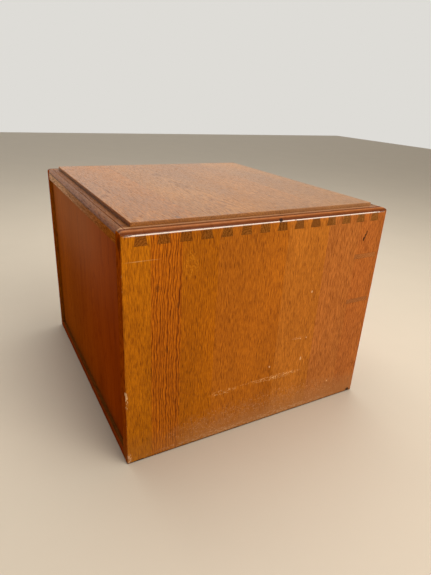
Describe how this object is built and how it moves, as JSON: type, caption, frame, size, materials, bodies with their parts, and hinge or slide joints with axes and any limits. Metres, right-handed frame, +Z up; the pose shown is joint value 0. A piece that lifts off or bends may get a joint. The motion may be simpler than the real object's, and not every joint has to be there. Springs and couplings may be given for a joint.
{
  "type": "sewing table",
  "caption": "Low box-shaped sewing table with a dovetailed oak case, a raised field on its top, drawers that slide out of the front and a sliding thread tray.",
  "frame": {"origin": "middle of the footprint, on the floor", "axes": "+Z up, -Y the side the drawers open to, +X to the right of someone facing the drawers"},
  "size_m": [0.656, 0.61, 0.495],
  "materials": {
    "side_oak": "satin golden-brown varnish on upright oak staves",
    "top_oak": "worn satin varnish, pinkish brown",
    "bottom_oak": "thin dull varnish",
    "stained_ply": "dark reddish-brown stained plywood, satin",
    "front_oak": "satin golden-brown varnish",
    "runner_beech": "waxed bare wood",
    "drawer_beech": "bare wood darkened with age",
    "floor_ply": "bare plywood",
    "tray_birch": "clear matt varnish",
    "steel": "zinc-plated steel, dulled"
  },
  "bodies": {
    "carcass": {"top_board": "top_oak", "left_side_board": "side_oak", "right_side_board": "side_oak", "bottom_board": "bottom_oak", "back_panel": "stained_ply", "upper_rail": "front_oak", "lower_rail": "front_oak", "upper_left_runner": "runner_beech", "upper_right_runner": "runner_beech", "lower_left_runner": "runner_beech", "lower_right_runner": "runner_beech", "top_left_stop": "runner_beech", "top_right_stop": "runner_beech", "middle_left_stop": "runner_beech", "middle_right_stop": "runner_beech", "bottom_left_stop": "runner_beech", "bottom_right_stop": "runner_beech", "left_runner_screw_1": "steel", "left_runner_screw_2": "steel", "left_runner_screw_3": "steel", "left_runner_screw_4": "steel", "right_runner_screw_1": "steel", "right_runner_screw_2": "steel", "right_runner_screw_3": "steel", "right_runner_screw_4": "steel"},
    "bottom_drawer": {"bottom_drawer_front": "front_oak", "bottom_drawer_left_side": "drawer_beech", "bottom_drawer_right_side": "drawer_beech", "bottom_drawer_back": "drawer_beech", "bottom_drawer_bottom": "floor_ply"},
    "middle_drawer": {"middle_drawer_front": "front_oak", "middle_drawer_left_side": "drawer_beech", "middle_drawer_right_side": "drawer_beech", "middle_drawer_back": "drawer_beech", "middle_drawer_bottom": "floor_ply", "tray_left_ledge": "runner_beech", "tray_right_ledge": "runner_beech"},
    "top_drawer": {"top_drawer_front": "front_oak", "top_drawer_left_side": "drawer_beech", "top_drawer_right_side": "drawer_beech", "top_drawer_back": "drawer_beech", "top_drawer_bottom": "floor_ply"},
    "thread_tray": {"tray_floor": "tray_birch", "tray_front_wall": "tray_birch", "tray_back_wall": "tray_birch", "tray_left_end": "tray_birch", "tray_left_cross_divider": "tray_birch", "tray_left_long_divider": "tray_birch", "tray_right_end": "tray_birch", "tray_right_cross_divider": "tray_birch", "tray_right_long_divider": "tray_birch", "spool_peg_1": "runner_beech", "spool_peg_2": "runner_beech", "spool_peg_3": "runner_beech", "spool_peg_4": "runner_beech", "spool_peg_5": "runner_beech", "spool_peg_6": "runner_beech", "spool_peg_7": "runner_beech", "spool_peg_8": "runner_beech"}
  },
  "joints": [
    {"name": "bottom_drawer_slide", "type": "slide", "parent": "carcass", "child": "bottom_drawer", "axis": [0, -1, 0], "range_m": [0, 0.42]},
    {"name": "middle_drawer_slide", "type": "slide", "parent": "carcass", "child": "middle_drawer", "axis": [0, -1, 0], "range_m": [0, 0.42]},
    {"name": "top_drawer_slide", "type": "slide", "parent": "carcass", "child": "top_drawer", "axis": [0, -1, 0], "range_m": [0, 0.42]},
    {"name": "thread_tray_slide", "type": "slide", "parent": "middle_drawer", "child": "thread_tray", "axis": [0, -1, 0], "range_m": [0, 0.305]}
  ]
}
